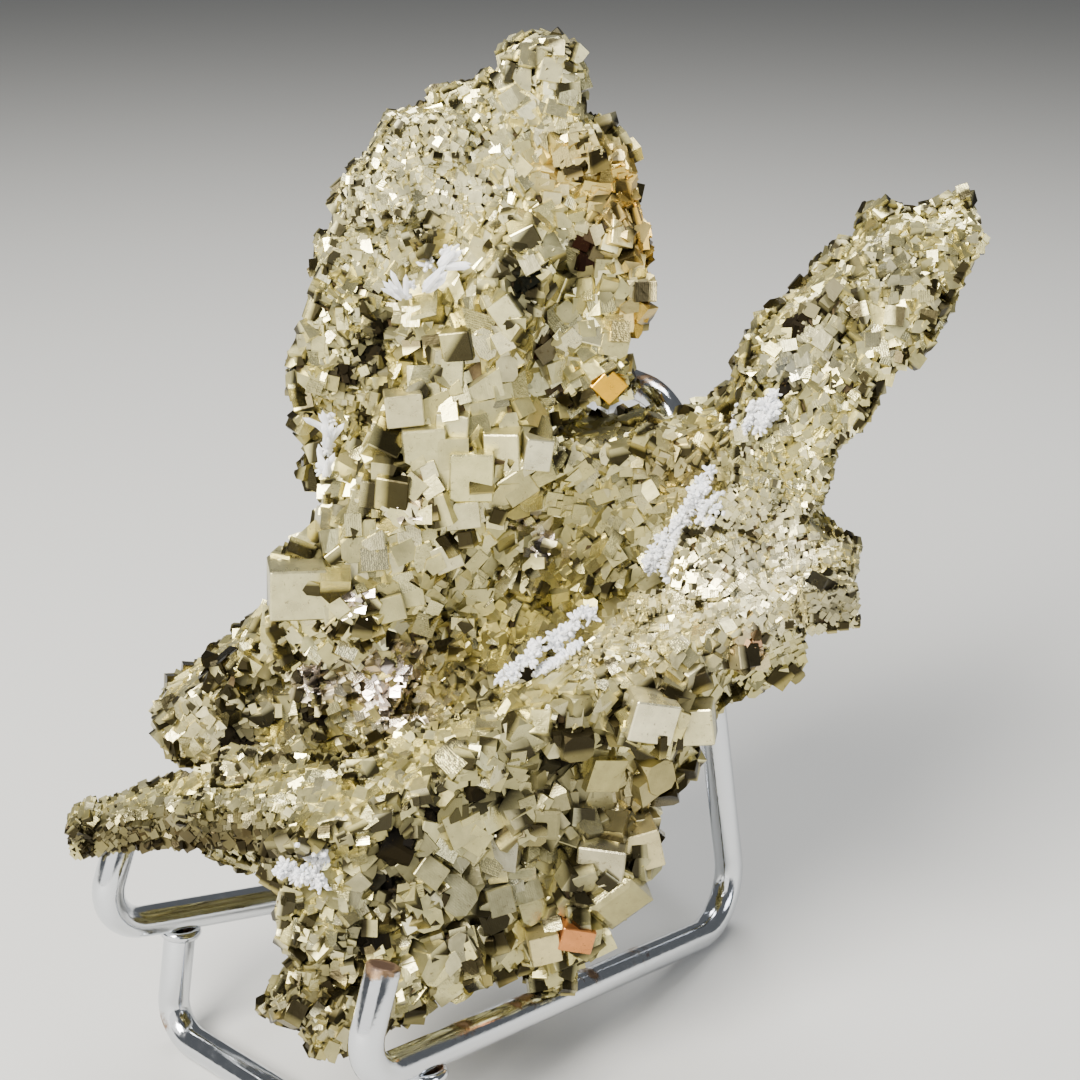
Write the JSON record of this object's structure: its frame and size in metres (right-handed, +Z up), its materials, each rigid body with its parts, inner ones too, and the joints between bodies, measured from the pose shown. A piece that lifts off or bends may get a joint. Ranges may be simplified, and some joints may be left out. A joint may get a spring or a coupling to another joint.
{
  "type": "pyrite specimen",
  "caption": "Cluster of crystal-crusted pyrite blades with small white quartz druses, leaning on a bent chrome wire display stand.",
  "frame": {"origin": "on the surface the stand rests on, under the middle of the whole object's box", "axes": "+Z up, -Y towards the show side, +X to the right of a viewer who faces the show side"},
  "size_m": [0.1196, 0.0948, 0.1335],
  "materials": {
    "pyrite": "pale brassy, metallic, satin",
    "quartz": "white, slightly translucent",
    "wire": "polished, with rust at the cut ends and along the right rail"
  },
  "bodies": {
    "root": {"pyrite": "pyrite", "quartz_upper_spray": "quartz", "quartz_left_spray": "quartz", "quartz_arm_patch": "quartz", "quartz_saddle_crust": "quartz", "quartz_ridge_crust": "quartz", "quartz_keel_patch": "quartz", "stand_frame": "wire", "stand_foot": "wire"}
  },
  "joints": []
}
